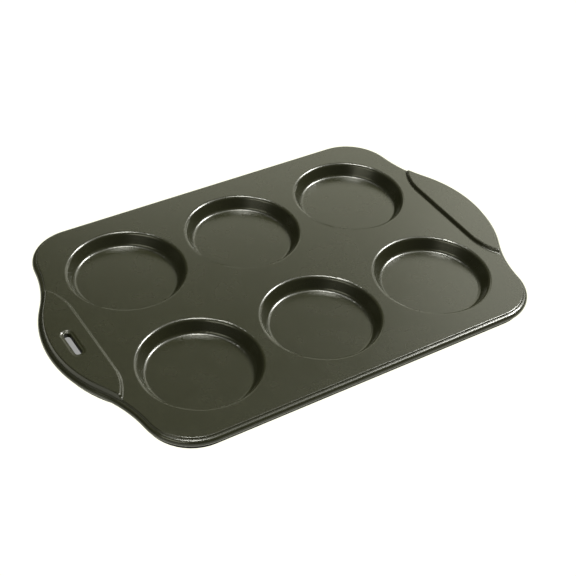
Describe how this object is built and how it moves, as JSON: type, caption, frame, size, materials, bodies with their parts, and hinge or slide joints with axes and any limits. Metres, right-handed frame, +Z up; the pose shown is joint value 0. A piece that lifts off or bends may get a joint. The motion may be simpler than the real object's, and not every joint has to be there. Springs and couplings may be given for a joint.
{
  "type": "hamburger bun pan",
  "caption": "Pressed coated-steel baking pan with shallow round bun cups in a flat deck, a rolled rim, raised bowed handles at the ends and a hanging slot.",
  "frame": {"origin": "middle of the pan, on the plane that it stands on: the undersides of the cup floors", "axes": "+X along the pan from handle to handle, away from the handle with the hanging slot, +Y from front to back, +Z up out of the cups"},
  "size_m": [0.4318, 0.2816, 0.0145],
  "materials": {
    "coated_steel": "dark grey semi-gloss non-stick coating on steel"
  },
  "bodies": {
    "root": {"bun_pan": "coated_steel"}
  },
  "joints": []
}
